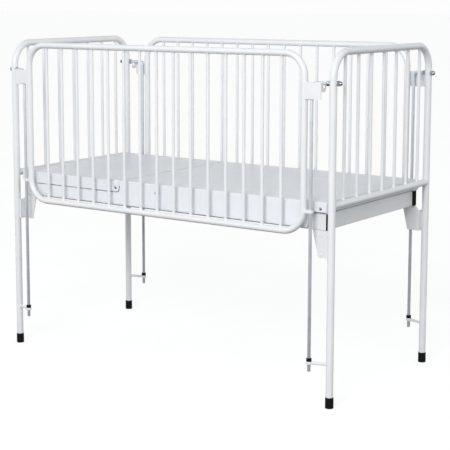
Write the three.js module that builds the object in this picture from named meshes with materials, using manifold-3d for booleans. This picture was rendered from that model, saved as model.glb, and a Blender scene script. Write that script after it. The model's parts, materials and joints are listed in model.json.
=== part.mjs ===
// Pediatric hospital cot: two tubular end hoops with bar grilles, two drop sides that slide on round
// guide rods, and a sheet-metal deck whose head section tilts up as a backrest.
// Millimetres, +Z up. The origin lies on the floor under the middle of the cot. +X runs to the foot
// end, -X to the head end, -Y is the front side and +Y the rear side.
import * as THREE from "three";
import { mergeVertices } from "three/addons/utils/BufferGeometryUtils.js";
import Module from "manifold-3d";

const wasm = await Module();
wasm.setup();

// End hoops: one bent tube makes two legs and the top rail.
const POST_SPAN_X = 1240; // between the leg axes, head end to foot end
const POST_SPAN_Y = 600; // between the leg axes of one end
const POST_D = 22;
const HOOP_TOP_Z = 1038; // axis of the top rail
const HOOP_BEND = 75;
const TIP_WALL = 1; // rubber leg tip
const TIP_TAPER = 0.2;
const TIP_H = 33;
const TIP_SOLE = 5; // rubber under the end of the tube
const TIP_ROUNDING = 2;

// End grilles: a lower rail and a row of bars.
const END_RAIL_DROP = 8; // deck top to the rail's axis
const END_RAIL_D = 22;
const BAR_D = 10;
const END_BARS = 7;
const END_BAR_MARGIN = 66; // leg axis to the first bar

// Guide rods: vertical, bent at the top into a leg that passes through the post.
const ROD_D = 10;
const ROD_INSET_X = 60; // post axis to rod axis, along the cot
const ROD_STANDOFF_Y = 18; // rod axis outside the post axis, so that the side clears the deck
const ROD_LEG_DROP = 88; // axis of the hoop's top rail to the axis of the rod's leg
const ROD_BEND = 14;
const ROD_BELOW_EYE = 26; // middle of the eye to the rod's lower end
const ROD_GRIP = 10; // threaded end inside the cap nut
const EYE_Z = 131; // middle of the welded eye that holds the rod's lower end
const EYE_WALL = 4;
const EYE_H = 8.5;
const EYE_ARM_D = 8.4;
const BUFFER_WALL = 3;
const BUFFER_H = 10;
const NUT_WALL = 2;
const NUT_H = 8;
const CAP_WALL = 1.5;
const CAP_H = 15.5;

// Drop sides: a closed tube loop with bars, and plates that run on the rods.
const SIDE_TUBE_D = 20;
const SIDE_FROM_ROD = 24; // rod axis to the end tube's axis
const SIDE_TOP_DROP = 4; // axis of the hoop's top rail to the axis of the side's
const SIDE_LOW_DROP = 91; // deck top to the axis of the side's lower rail
const SIDE_TOP_BEND = 66;
const SIDE_LOW_BEND = 70;
const SIDE_BARS = 15;
const SIDE_BAR_MARGIN = 78; // end tube to the first bar
const LUG_DROP = 31; // deck top to the underside of the lower lug
const LUG_T = 10;
const LUG_WALL = 4; // round the rod
const PLATE_T = 2.5;
const PLATE_GAP = 2; // rod to the plate's inner face
const PLATE_RISE = 2; // axis of the rod's leg to the plate's top
const PLATE_H = 49;
const PLATE_NUT_GAP = 5.3; // plate's end to the lock nut
const ROD_TAB_MARGIN = 7; // rod to the tab's end
const ROD_TAB_WALL = 3; // rod to the tab's free edge
const HOOK_TAB_H = 27;
const HOOK_TAB_WALL = 4; // slot to the tab's free edge
const HOOK_SLOT_GAP = 1; // each side of the rod's leg
const SIDE_LIFT = 10; // from rest up to the top stop

// Bed frame: rectangular tubes that hook on the posts.
const RAIL_W = 24;
const RAIL_H = 50;
const RAIL_WALL = 2;
const RAIL_INSET_Y = 15.7; // post axis to the rail's outer face
const RAIL_INSET_X = 28; // post axis to the end of the tube
const CROSS_INSET_X = 30; // post axis to the cross rail's outer face
const PLUG_FLANGE = 3;
const PLUG_DEPTH = 8;
const HOOK_T = 4;
const HOOK_H = 81;
const HOOK_TOP_W = 56;
const HOOK_LOW_W = 38;
const HOOK_EDGE_H = 70;
const SOCKET_W = 15; // along the cot, from the post's flat
const SOCKET_PAST = 2; // past the post axis, so that it bears on the post's flat
const SOCKET_H = 66;
const SOCKET_MOUTH = 10.3;
const SOCKET_WALL = 2.5;
const SOCKET_LIP = 6; // the outer lip, shorter than the inner one

// Deck: a fixed tray and a tilting backrest of folded sheet.
const SHEET_T = 2;
const DECK_TOP_Z = 606;
const DECK_INSET_X = 20; // post axis to the deck's end
const DECK_OVERHANG = 8; // side rail's face to the deck's skirt
const SKIRT_H = 79;
const SKIRT_INSET_X = 80; // post axis to the end of the deep skirt
const FLANGE_H = 30;
const BEARER_W = 34;
const BEARER_H = 33; // side rail to deck sheet
const BEARER_WALL = 2;
const FOOT_BEARER_INSET_X = 40; // post axis to the bearer's middle
const MID_BEARER_REACH = 150; // backrest's end to the bearer's middle
const MID_SCREW_DROP = 28; // deck top to the screw's axis
const END_SCREW_DROP = 20;
const SCREW_D = 5;
const SCREW_HEAD_D = 9;
const SCREW_HEAD_H = 2.5;
const SCREW_LENGTH = 14;
const BACKREST_LENGTH = 427;
const BACKREST_FLANGE_H = 37;
const BACKREST_SEAM = 5; // between the backrest and the fixed sheet
const PIVOT_INSET = 12; // backrest's end to the pivot
const PIVOT_DROP = 23;
const PIVOT_RELIEF = 10; // pivot to the blind end of the slit that frees the sheet from its flange
const PIVOT_D = 6;
const PIVOT_HEAD_D = 11;
const PIVOT_NUT_FLATS = 10;
const PIVOT_NUT_H = 5;
const STAY_D = 8;
const STAY_LENGTH = 200;
const STAY_W = 200;
const STAY_BEND = 12;
const STAY_PIVOT_REACH = 230; // backrest pivot to the stay's pivot
const STAY_DROP = 16; // deck top to the stay's axis
const EAR_T = 4;
const EAR_W = 20;
const EAR_BELOW = 10; // ear under the stay's axis
const REST_W = 45;
const REST_T = 2.5;
const REST_FAR = 70; // backrest pivot to the rest's far edge
const REST_LIP_W = 11.5;
const REST_LIP_H = 4;

const FIT = 0.3; // clearance between pieces that fit into or against each other
const SLIDE_FIT = 0.5; // clearance between a rod and the plate that runs on it
const PAST = 1; // how far a cut runs past a face, or a wall runs into the one it joins

const TUBE_SIDES = 12;
const BAR_SIDES = 8;
const ROUND_SIDES = 24;
const BEND_STEPS = 6;
const ARC_STEPS = 6;

const postX = POST_SPAN_X / 2;
const postY = POST_SPAN_Y / 2;
const rodX = postX - ROD_INSET_X;
const rodY = postY + ROD_STANDOFF_Y;
const rodReach = Math.hypot(ROD_INSET_X, ROD_STANDOFF_Y);
const rodTurn = Math.atan2(ROD_STANDOFF_Y, -ROD_INSET_X);
const rodLegZ = HOOP_TOP_Z - ROD_LEG_DROP;
const rodLowZ = EYE_Z - ROD_BELOW_EYE;
const nutFlats = ROD_D + 2 * NUT_WALL;
const nutSeat = POST_D / 2 / Math.cos(Math.PI / TUBE_SIDES) + FIT; // post axis to a nut's face
const sideX = rodX - SIDE_FROM_ROD;
const sideTopZ = HOOP_TOP_Z - SIDE_TOP_DROP;
const sideLowZ = DECK_TOP_Z - SIDE_LOW_DROP;
const lugZ = DECK_TOP_Z - LUG_DROP;
const endRailZ = DECK_TOP_Z - END_RAIL_DROP;
const railX = postX - RAIL_INSET_X;
const railOuterY = postY - RAIL_INSET_Y;
const railInnerY = railOuterY - RAIL_W;
const deckX = postX - DECK_INSET_X;
const deckLowZ = DECK_TOP_Z - SHEET_T;
const railTopZ = deckLowZ - BEARER_H;
const railLowZ = railTopZ - RAIL_H;
const skirtX = postX - SKIRT_INSET_X;
const skirtInnerY = railOuterY + DECK_OVERHANG;
const bearerEndY = skirtInnerY - FIT;
const skirtOuterY = skirtInnerY + SHEET_T;
const flangeInnerY = skirtOuterY + FIT;
const flangeOuterY = flangeInnerY + SHEET_T;
const footBearerX = postX - FOOT_BEARER_INSET_X;
const backrestEndX = -deckX + BACKREST_LENGTH;
const midBearerX = backrestEndX + MID_BEARER_REACH;
const pivotX = backrestEndX - PIVOT_INSET;
const pivotZ = DECK_TOP_Z - PIVOT_DROP;
const stayX = pivotX - STAY_PIVOT_REACH;
const stayZ = DECK_TOP_Z - STAY_DROP;

const FINISHES = {
  powder: { color: 0xf2f4f6, roughness: 0.38, metalness: 0 },
  deck: { color: 0xd7dbe1, roughness: 0.5, metalness: 0 },
  zinc: { color: 0xaab2b6, roughness: 0.32, metalness: 1 },
  darkZinc: { color: 0x6d7679, roughness: 0.35, metalness: 1 },
  rubber: { color: 0x161617, roughness: 0.75, metalness: 0 },
  plastic: { color: 0x1a1a1b, roughness: 0.5, metalness: 0 },
};

const cot = new THREE.Group();

// A closed three.js geometry as a solid that can be joined and cut.
function solid(geometry) {
  const bare = geometry.index ? geometry.toNonIndexed() : geometry.clone();
  bare.deleteAttribute("normal");
  bare.deleteAttribute("uv");
  const merged = mergeVertices(bare, 1e-4);
  return new wasm.Manifold(
    new wasm.Mesh({
      numProp: 3,
      vertProperties: new Float32Array(merged.attributes.position.array),
      triVerts: new Uint32Array(merged.index.array),
    }),
  );
}

function geometryOf(body) {
  const mesh = body.getMesh();
  const geometry = new THREE.BufferGeometry();
  geometry.setAttribute("position", new THREE.BufferAttribute(mesh.vertProperties, 3));
  geometry.setIndex(new THREE.BufferAttribute(mesh.triVerts, 1));
  geometry.computeVertexNormals();
  return geometry;
}

function join(...bodies) {
  return bodies.reduce((whole, body) => whole.add(body));
}

function addPart(parent, name, body, finish) {
  const mesh = new THREE.Mesh(geometryOf(body), new THREE.MeshStandardMaterial(FINISHES[finish]));
  mesh.name = name;
  parent.add(mesh);
  return mesh;
}

// One transform places a unit box, so faces of two blocks that share a number are exactly flush.
function block([x0, x1], [y0, y1], [z0, z1]) {
  const place = new THREE.Matrix4().makeScale(x1 - x0, y1 - y0, z1 - z0).setPosition(x0, y0, z0);
  return solid(new THREE.BoxGeometry(1, 1, 1).translate(0.5, 0.5, 0.5).applyMatrix4(place));
}

// A straight round bar between two points, whose flats lie one diameter apart.
function bar(from, to, diameter, sides) {
  const start = new THREE.Vector3(...from);
  const run = new THREE.Vector3(...to).sub(start);
  const radius = diameter / 2 / Math.cos(Math.PI / sides);
  const geometry = new THREE.CylinderGeometry(radius, radius, run.length(), sides);
  geometry.rotateY(Math.PI / sides);
  geometry.translate(0, run.length() / 2, 0);
  const turn = new THREE.Quaternion().setFromUnitVectors(new THREE.Vector3(0, 1, 0), run.normalize());
  return solid(geometry.applyQuaternion(turn).translate(...from));
}

// A flat outline in the XY plane, given thickness from z0 to z1.
function plateXY(outline, z0, z1) {
  const options = { depth: z1 - z0, bevelEnabled: false, curveSegments: ARC_STEPS };
  return solid(new THREE.ExtrudeGeometry(outline, options).translate(0, 0, z0));
}

// A flat outline in the XZ plane, given thickness from y0 to y1.
function plateXZ(outline, y0, y1) {
  return plateXY(outline, 0, y1 - y0).rotate([90, 0, 0]).translate([0, y1, 0]);
}

// A turned piece about the Z axis, from its closed outline of (radius, z) points.
function turned(points, sides) {
  const outline = points.map(([r, z]) => new THREE.Vector2(r, z));
  return solid(new THREE.LatheGeometry([...outline, outline[0]], sides).rotateX(Math.PI / 2));
}

// A hexagon prism along X, from x0 to x1.
function hexAlongX(flats, x0, x1) {
  return bar([x0, 0, 0], [x1, 0, 0], flats, 6);
}

// A path of straight runs and round bends. Rings of a tube along it fall only where it bends or ends.
class BentPath extends THREE.Curve {
  constructor(corners, bends, closed) {
    super();
    this.closed = closed;
    this.stations = [];
    const points = corners.map((corner) => new THREE.Vector3(...corner));
    const count = points.length;
    points.forEach((corner, i) => {
      const before = points[(i + count - 1) % count];
      const after = points[(i + 1) % count];
      const inward = corner.clone().sub(before).normalize();
      const outward = after.clone().sub(corner).normalize();
      if (!closed && i === 0) this.stations.push({ point: corner, tangent: outward });
      else if (!closed && i === count - 1) this.stations.push({ point: corner, tangent: inward });
      else this.addBend(corner, inward, outward, bends[i]);
    });
  }

  addBend(corner, inward, outward, radius) {
    const angle = inward.angleTo(outward);
    const start = corner.clone().addScaledVector(inward, -radius * Math.tan(angle / 2));
    const side = outward.clone().addScaledVector(inward, -outward.dot(inward)).normalize();
    for (let step = 0; step <= BEND_STEPS; step += 1) {
      const turn = (angle * step) / BEND_STEPS;
      const point = start.clone().addScaledVector(inward, radius * Math.sin(turn));
      point.addScaledVector(side, radius * (1 - Math.cos(turn)));
      const tangent = inward.clone().multiplyScalar(Math.cos(turn)).addScaledVector(side, Math.sin(turn));
      this.stations.push({ point, tangent });
    }
  }

  get steps() {
    return this.closed ? this.stations.length : this.stations.length - 1;
  }

  station(t) {
    return this.stations[Math.round(t * this.steps) % this.stations.length];
  }

  getPoint(t, target = new THREE.Vector3()) {
    return target.copy(this.station(t).point);
  }

  getTangent(t, target = new THREE.Vector3()) {
    return target.copy(this.station(t).tangent);
  }

  getPointAt(u, target) {
    return this.getPoint(u, target);
  }

  getTangentAt(u, target) {
    return this.getTangent(u, target);
  }
}

// A round tube along an open path of corners, all with one bend radius.
function bentTube(corners, bend, diameter, sides) {
  const path = new BentPath(corners, corners.map(() => bend), false);
  const radius = diameter / 2 / Math.cos(Math.PI / sides);
  const ring = Array.from({ length: sides }, (_, k) => {
    const angle = (2 * Math.PI * (k + 0.5)) / sides;
    return new THREE.Vector2(radius * Math.cos(angle), radius * Math.sin(angle));
  });
  return solid(
    new THREE.ExtrudeGeometry(new THREE.Shape(ring), {
      steps: path.steps,
      extrudePath: path,
      bevelEnabled: false,
    }),
  );
}

// A closed tube loop has no ends to cap.
function tubeLoop(corners, bends, diameter, sides) {
  const path = new BentPath(corners, bends, true);
  const radius = diameter / 2 / Math.cos(Math.PI / sides);
  return solid(new THREE.TubeGeometry(path, path.steps, radius, sides, true));
}

// The hoop's centre line, in the plane x = 0.
function hoopTube(diameter) {
  return bentTube(
    [
      [0, -postY, TIP_SOLE],
      [0, -postY, HOOP_TOP_Z],
      [0, postY, HOOP_TOP_Z],
      [0, postY, TIP_SOLE],
    ],
    HOOP_BEND,
    diameter,
    TUBE_SIDES,
  );
}

// Four corner frames share one model: the corner at +X +Y, mirrored to the other three.
const CORNERS = [
  ["front_head", -1, -1],
  ["front_foot", 1, -1],
  ["rear_head", -1, 1],
  ["rear_foot", 1, 1],
];

// A solid modelled along a guide rod's own line: x runs from the post axis towards the rod.
function alongRod(body) {
  return body.rotate([0, 0, THREE.MathUtils.radToDeg(rodTurn)]).translate([postX, postY, 0]);
}

function rodEye() {
  const arm = bar([0, 0, EYE_Z], [rodReach, 0, EYE_Z], EYE_ARM_D, BAR_SIDES);
  const ringZ = [EYE_Z - EYE_H / 2, EYE_Z + EYE_H / 2];
  const ring = bar([rodReach, 0, ringZ[0]], [rodReach, 0, ringZ[1]], ROD_D + 2 * EYE_WALL, TUBE_SIDES);
  return arm.add(ring);
}

function rodHole(low, high) {
  return bar([rodReach, 0, low], [rodReach, 0, high], ROD_D + 2 * FIT, TUBE_SIDES);
}

function legHole() {
  return bar([-POST_D, 0, rodLegZ], [POST_D, 0, rodLegZ], ROD_D + 2 * FIT, TUBE_SIDES);
}

function endHoop() {
  const eyes = [1, -1].map((side) => alongRod(rodEye()).translate([-postX, 0, 0]).scale([1, side, 1]));
  const holes = [1, -1].map((side) => {
    const cuts = alongRod(legHole().add(rodHole(EYE_Z - EYE_H, EYE_Z + EYE_H)));
    return cuts.translate([-postX, 0, 0]).scale([1, side, 1]);
  });
  return join(hoopTube(POST_D), ...eyes).subtract(join(...holes));
}

function endGrille() {
  const pitch = (POST_SPAN_Y - 2 * END_BAR_MARGIN) / (END_BARS - 1);
  const rail = bar([0, -postY, endRailZ], [0, postY, endRailZ], END_RAIL_D, TUBE_SIDES);
  const bars = Array.from({ length: END_BARS }, (_, k) => {
    const y = -postY + END_BAR_MARGIN + k * pitch;
    return bar([0, y, endRailZ], [0, y, HOOP_TOP_Z], BAR_D, BAR_SIDES);
  });
  return join(rail, ...bars).subtract(hoopTube(POST_D + 2 * FIT));
}

function addEnds() {
  for (const [name, side] of [["head", -1], ["foot", 1]]) {
    const end = new THREE.Group();
    end.position.x = side * postX;
    end.scale.x = side;
    addPart(end, `${name}_end_hoop`, endHoop(), "powder");
    addPart(end, `${name}_end_grille`, endGrille(), "powder");
    cot.add(end);
  }
}

function legTip() {
  const bore = POST_D / 2 / Math.cos(Math.PI / TUBE_SIDES) / Math.cos(Math.PI / ROUND_SIDES) + FIT;
  const outer = bore + TIP_WALL;
  return turned(
    [
      [0, 0],
      [outer - TIP_ROUNDING, 0],
      [outer, TIP_ROUNDING],
      [outer - TIP_TAPER, TIP_H],
      [bore, TIP_H],
      [bore, TIP_SOLE],
      [0, TIP_SOLE],
    ],
    ROUND_SIDES,
  ).translate([postX, postY, 0]);
}

function guideRod() {
  return alongRod(
    bentTube(
      [
        [rodReach, 0, rodLowZ],
        [rodReach, 0, rodLegZ],
        [-nutSeat - ROD_GRIP, 0, rodLegZ],
      ],
      ROD_BEND,
      ROD_D,
      TUBE_SIDES,
    ),
  );
}

function rodBore(x0, x1) {
  return bar([x0, 0, 0], [x1, 0, 0], ROD_D + 2 * FIT, TUBE_SIDES);
}

function lockNut() {
  const nut = hexAlongX(nutFlats, nutSeat, nutSeat + NUT_H).subtract(rodBore(0, nutSeat + 2 * NUT_H));
  return alongRod(nut.translate([0, 0, rodLegZ]));
}

function capNut() {
  const domeH = CAP_H - NUT_H;
  const domeR = ROD_D / 2 + CAP_WALL;
  const dome = turned(
    [
      [0, -NUT_H / 2],
      [domeR, -NUT_H / 2],
      [domeR, domeH / 2],
      [domeR / 2, domeH],
      [0, domeH],
    ],
    TUBE_SIDES,
  ).rotate([0, -90, 0]).translate([-nutSeat - NUT_H, 0, 0]);
  const hex = hexAlongX(nutFlats, -nutSeat - NUT_H, -nutSeat);
  const cap = hex.add(dome).subtract(rodBore(-nutSeat - ROD_GRIP - FIT, 0));
  return alongRod(cap.translate([0, 0, rodLegZ]));
}

function buffer() {
  const base = EYE_Z + EYE_H / 2;
  const bore = (ROD_D / 2 + FIT) / Math.cos(Math.PI / TUBE_SIDES);
  const outer = ROD_D / 2 + BUFFER_WALL;
  const ring = turned(
    [
      [bore, 0],
      [outer, 0],
      [outer, BUFFER_H],
      [bore, BUFFER_H],
    ],
    TUBE_SIDES,
  );
  return alongRod(ring.translate([rodReach, 0, base]));
}

// A channel on the post's inner flat takes the edge of the rail's hook plate.
const socketX = [postX - POST_D / 2 - SOCKET_W, postX - POST_D / 2];
const socketY = [railOuterY - HOOK_T - FIT - SOCKET_WALL, postY + SOCKET_PAST];
const hookLowZ = railLowZ - HOOK_H;

function postSocket() {
  const mouth = block(
    [socketX[0] - FIT, socketX[0] + SOCKET_MOUTH],
    [railOuterY - HOOK_T - FIT, railOuterY + FIT],
    [hookLowZ - SOCKET_H, railLowZ],
  );
  const front = block(
    [socketX[0] - FIT, socketX[1] - SOCKET_LIP],
    [railOuterY, socketY[1] + PAST],
    [hookLowZ - SOCKET_H, railLowZ],
  );
  return block(socketX, socketY, [hookLowZ, hookLowZ + SOCKET_H]).subtract(mouth.add(front));
}

function railHook() {
  const edge = socketX[0] + SOCKET_MOUTH - FIT;
  const outline = new THREE.Shape();
  outline.moveTo(edge - HOOK_TOP_W, railLowZ);
  outline.lineTo(edge - HOOK_LOW_W, hookLowZ);
  outline.lineTo(edge, hookLowZ);
  outline.lineTo(edge, hookLowZ + HOOK_EDGE_H);
  outline.lineTo(railX, railLowZ);
  outline.closePath();
  return plateXZ(outline, railOuterY - HOOK_T, railOuterY);
}

function railPlug() {
  const gap = RAIL_WALL + FIT;
  const flange = block([railX, railX + PLUG_FLANGE], [railInnerY, railOuterY], [railLowZ, railTopZ]);
  const spigot = block(
    [railX - PLUG_DEPTH, railX + PLUG_FLANGE],
    [railInnerY + gap, railOuterY - gap],
    [railLowZ + gap, railTopZ - gap],
  );
  return flange.add(spigot);
}

// The drop side's upper guide: a folded plate with a tab on the rod and a hooked tab under its leg.
function upperGuide() {
  const plateInnerY = rodY + ROD_D / 2 + PLATE_GAP;
  const plateY = [plateInnerY, plateInnerY + PLATE_T];
  const farX = postX - nutSeat - NUT_H - PLATE_NUT_GAP;
  const topZ = rodLegZ + PLATE_RISE;
  const lowZ = topZ - PLATE_H;
  const plate = block([sideX, farX], plateY, [lowZ, topZ]);
  const rodTab = block(
    [sideX + SIDE_TUBE_D / 2 + FIT, rodX + ROD_D / 2 + ROD_TAB_MARGIN],
    [rodY - ROD_D / 2 - ROD_TAB_WALL, plateY[1]],
    [lowZ, lowZ + PLATE_T],
  );
  const rodCut = bar([rodX, rodY, lowZ - PAST], [rodX, rodY, topZ], ROD_D + 2 * SLIDE_FIT, TUBE_SIDES);
  const tabX = farX - PLATE_T / 2;
  const legY = rodY - (ROD_STANDOFF_Y * (tabX - rodX)) / ROD_INSET_X;
  const slotLowZ = rodLegZ - ROD_D / 2 - SIDE_LIFT - FIT;
  const slotHalf = ROD_D / 2 + HOOK_SLOT_GAP;
  const freeY = legY - slotHalf - HOOK_TAB_WALL;
  const hook = new THREE.Shape();
  hook.moveTo(plateY[1], topZ);
  hook.lineTo(legY + slotHalf, topZ);
  hook.lineTo(legY + slotHalf, slotLowZ);
  hook.lineTo(legY - slotHalf, slotLowZ);
  hook.lineTo(legY - slotHalf, topZ);
  hook.lineTo(freeY, topZ);
  hook.lineTo(freeY, topZ - HOOK_TAB_H / 2);
  hook.quadraticCurveTo(freeY, topZ - HOOK_TAB_H, legY, topZ - HOOK_TAB_H);
  hook.lineTo(plateY[1], topZ - HOOK_TAB_H);
  hook.closePath();
  const hookTab = plateXZ(hook, -PLATE_T, 0).rotate([0, 0, 90]).translate([farX - PLATE_T, 0, 0]);
  const tubeCut = SIDE_TUBE_D / Math.cos(Math.PI / TUBE_SIDES) + 2 * FIT;
  const tube = bar([sideX, rodY, sideLowZ], [sideX, rodY, sideTopZ], tubeCut, TUBE_SIDES);
  return join(plate, rodTab, hookTab).subtract(rodCut).subtract(tube);
}

function addCorners() {
  for (const [name, x, y] of CORNERS) {
    const corner = new THREE.Group();
    corner.scale.set(x, y, 1);
    addPart(corner, `${name}_leg_tip`, legTip(), "rubber");
    addPart(corner, `${name}_guide_rod`, guideRod(), "zinc");
    addPart(corner, `${name}_lock_nut`, lockNut(), "darkZinc");
    addPart(corner, `${name}_cap_nut`, capNut(), "darkZinc");
    addPart(corner, `${name}_rod_buffer`, buffer(), "rubber");
    addPart(corner, `${name}_post_socket`, postSocket(), "powder");
    addPart(corner, `${name}_rail_hook`, railHook(), "powder");
    addPart(corner, `${name}_rail_plug`, railPlug(), "plastic");
    addPart(corner, `${name}_upper_guide`, upperGuide(), "powder");
    cot.add(corner);
  }
}

function shrunk([low, high], wall) {
  return [low + wall, high - wall];
}

// A rail is an open rectangular tube.
function rectTube(x, y, z, alongX) {
  const boreX = shrunk(x, alongX ? -PAST : RAIL_WALL);
  const boreY = shrunk(y, alongX ? RAIL_WALL : -PAST);
  return block(x, y, z).subtract(block(boreX, boreY, shrunk(z, RAIL_WALL)));
}

function addBedFrame() {
  const railZ = [railLowZ, railTopZ];
  for (const [name, side] of [["front", -1], ["rear", 1]]) {
    const half = new THREE.Group();
    half.scale.y = side;
    const tube = rectTube([-railX, railX], [railInnerY, railOuterY], railZ, true);
    addPart(half, `${name}_side_rail`, tube, "powder");
    cot.add(half);
  }
  for (const [name, side] of [["head", -1], ["foot", 1]]) {
    const half = new THREE.Group();
    half.scale.x = side;
    const outer = postX - CROSS_INSET_X;
    const tube = rectTube([outer - RAIL_W, outer], [-railInnerY, railInnerY], railZ, false);
    addPart(half, `${name}_cross_rail`, tube, "powder");
    cot.add(half);
  }
}

// Screws lie along Y. The shank's clearance hole is cut from every sheet and bearer that it passes.
function screwHole(x, z, diameter) {
  return bar([x, -postY, z], [x, postY, z], diameter + 2 * FIT, BAR_SIDES);
}

const endScrewZ = DECK_TOP_Z - END_SCREW_DROP;
const midScrewZ = DECK_TOP_Z - MID_SCREW_DROP;

// A bearer is a folded channel, open below, that lies across both rails.
function addBearers() {
  const bearers = [
    ["head_deck_bearer", -footBearerX, null],
    ["middle_deck_bearer", midBearerX, midScrewZ],
    ["foot_deck_bearer", footBearerX, endScrewZ],
  ];
  for (const [name, x, screwZ] of bearers) {
    const spanX = [x - BEARER_W / 2, x + BEARER_W / 2];
    const spanY = [-bearerEndY, bearerEndY];
    const hollowZ = [railTopZ - PAST, deckLowZ - BEARER_WALL];
    const hollow = block(shrunk(spanX, BEARER_WALL), shrunk(spanY, BEARER_WALL), hollowZ);
    const beam = block(spanX, spanY, [railTopZ, deckLowZ]).subtract(hollow);
    addPart(cot, name, screwZ === null ? beam : beam.subtract(screwHole(x, screwZ, SCREW_D)), "powder");
  }
}

// A side of the deck: the deep skirt, which runs on under the backrest, and a shallow end.
function deckSkirt(startX) {
  const lowZ = DECK_TOP_Z - SKIRT_H;
  const outline = new THREE.Shape();
  outline.moveTo(-skirtX, lowZ);
  outline.lineTo(skirtX, lowZ);
  outline.lineTo(skirtX, DECK_TOP_Z - FLANGE_H);
  outline.lineTo(deckX, DECK_TOP_Z - FLANGE_H);
  outline.lineTo(deckX, DECK_TOP_Z);
  outline.lineTo(startX, DECK_TOP_Z);
  outline.lineTo(startX, deckLowZ - FIT);
  outline.lineTo(-skirtX, deckLowZ - FIT);
  outline.closePath();
  return plateXZ(outline, skirtInnerY, skirtOuterY);
}

function deckTray() {
  const startX = backrestEndX + BACKREST_SEAM;
  const halfWidth = skirtOuterY - SHEET_T / 2; // to the middle of the skirts
  const reach = [-halfWidth, halfWidth];
  const sheet = block([startX, deckX - SHEET_T / 2], reach, [deckLowZ, DECK_TOP_Z]);
  const endFlange = block([deckX - SHEET_T, deckX], reach, [DECK_TOP_Z - FLANGE_H, DECK_TOP_Z]);
  const sides = [1, -1].map((side) => deckSkirt(startX).scale([1, side, 1]));
  return join(sheet, endFlange, ...sides)
    .subtract(screwHole(footBearerX, endScrewZ, SCREW_D))
    .subtract(screwHole(midBearerX, midScrewZ, SCREW_D))
    .subtract(screwHole(pivotX, pivotZ, PIVOT_D));
}

function deckScrew(x, z) {
  const seat = skirtOuterY;
  const shank = bar([x, seat - SCREW_LENGTH, z], [x, seat + SCREW_HEAD_H, z], SCREW_D, BAR_SIDES);
  return shank.add(bar([x, seat, z], [x, seat + SCREW_HEAD_H, z], SCREW_HEAD_D, TUBE_SIDES));
}

function pivotScrew() {
  const seat = flangeOuterY + FIT;
  const head = bar([pivotX, seat, pivotZ], [pivotX, seat + SCREW_HEAD_H, pivotZ], PIVOT_HEAD_D, TUBE_SIDES);
  const nutFar = bearerEndY - PIVOT_NUT_H;
  const shank = bar([pivotX, nutFar, pivotZ], [pivotX, seat + SCREW_HEAD_H, pivotZ], PIVOT_D, BAR_SIDES);
  const nut = bar([pivotX, nutFar, pivotZ], [pivotX, bearerEndY, pivotZ], PIVOT_NUT_FLATS, 6);
  return join(head, shank, nut);
}

function addDeckScrews() {
  for (const [name, side] of [["front", -1], ["rear", 1]]) {
    const half = new THREE.Group();
    half.scale.y = side;
    addPart(half, `${name}_foot_deck_screw`, deckScrew(footBearerX, endScrewZ), "zinc");
    addPart(half, `${name}_middle_deck_screw`, deckScrew(midBearerX, midScrewZ), "zinc");
    addPart(half, `${name}_backrest_pivot`, pivotScrew(), "zinc");
    cot.add(half);
  }
}

// A flange of the backrest, with a round lower corner by the pivot.
function backrestFlange() {
  const lowZ = DECK_TOP_Z - BACKREST_FLANGE_H;
  const round = PIVOT_INSET;
  const outline = new THREE.Shape();
  outline.moveTo(-deckX, DECK_TOP_Z);
  outline.lineTo(-deckX, lowZ);
  outline.lineTo(backrestEndX - round, lowZ);
  outline.absarc(backrestEndX - round, lowZ + round, round, -Math.PI / 2, 0, false);
  outline.lineTo(backrestEndX, DECK_TOP_Z);
  outline.closePath();
  return plateXZ(outline, flangeInnerY, flangeOuterY);
}

const earY = [STAY_W / 2 + STAY_BEND, STAY_W / 2 + STAY_BEND + EAR_T];

function backrestPanel() {
  const halfWidth = flangeOuterY - SHEET_T / 2; // to the middle of the flanges
  const reach = [-halfWidth, halfWidth];
  const sheetZ = [deckLowZ, DECK_TOP_Z];
  const wide = block([-deckX, pivotX - PIVOT_RELIEF], reach, sheetZ);
  const tongueY = skirtInnerY - SLIDE_FIT; // dips between the skirts as the backrest tilts
  const sheet = wide.add(block([-deckX, backrestEndX], [-tongueY, tongueY], sheetZ));
  const endFlange = block([-deckX, -deckX + SHEET_T], reach, [DECK_TOP_Z - FLANGE_H, DECK_TOP_Z]);
  const flanges = [1, -1].map((side) => backrestFlange().scale([1, side, 1]));
  const earReach = [stayX - EAR_W / 2, stayX + EAR_W / 2];
  const ear = block(earReach, earY, [stayZ - EAR_BELOW, DECK_TOP_Z - SHEET_T / 2]);
  const stayBore = bar([stayX, -postY, stayZ], [stayX, postY, stayZ], STAY_D + 2 * FIT, TUBE_SIDES);
  const ears = [ear, ear.scale([1, -1, 1])].map((body) => body.subtract(stayBore));
  return join(sheet, endFlange, ...flanges, ...ears).subtract(screwHole(pivotX, pivotZ, PIVOT_D));
}

// The stay is a bent bar whose turned-out ends pivot in the backrest's ears.
function backrestStay() {
  const leg = STAY_W / 2;
  const tip = earY[1] + FIT;
  return bentTube(
    [
      [stayX, tip, stayZ],
      [stayX, leg, stayZ],
      [stayX + STAY_LENGTH, leg, stayZ],
      [stayX + STAY_LENGTH, -leg, stayZ],
      [stayX, -leg, stayZ],
      [stayX, -tip, stayZ],
    ],
    STAY_BEND,
    STAY_D,
    TUBE_SIDES,
  );
}

// A strip across the rails carries the stay's foot. Its lip holds the raised backrest.
function stayRest() {
  const farX = pivotX - REST_FAR;
  const reach = [-railOuterY, railOuterY];
  const strip = block([farX, farX + REST_W], reach, [railTopZ, railTopZ + REST_T]);
  return strip.add(block([farX, farX + REST_LIP_W], reach, [railTopZ, railTopZ + REST_T + REST_LIP_H]));
}

function addBackrest() {
  addPart(cot, "backrest_panel", backrestPanel(), "deck");
  addPart(cot, "backrest_stay", backrestStay(), "zinc");
  addPart(cot, "stay_rest", stayRest(), "powder");
}

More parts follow.
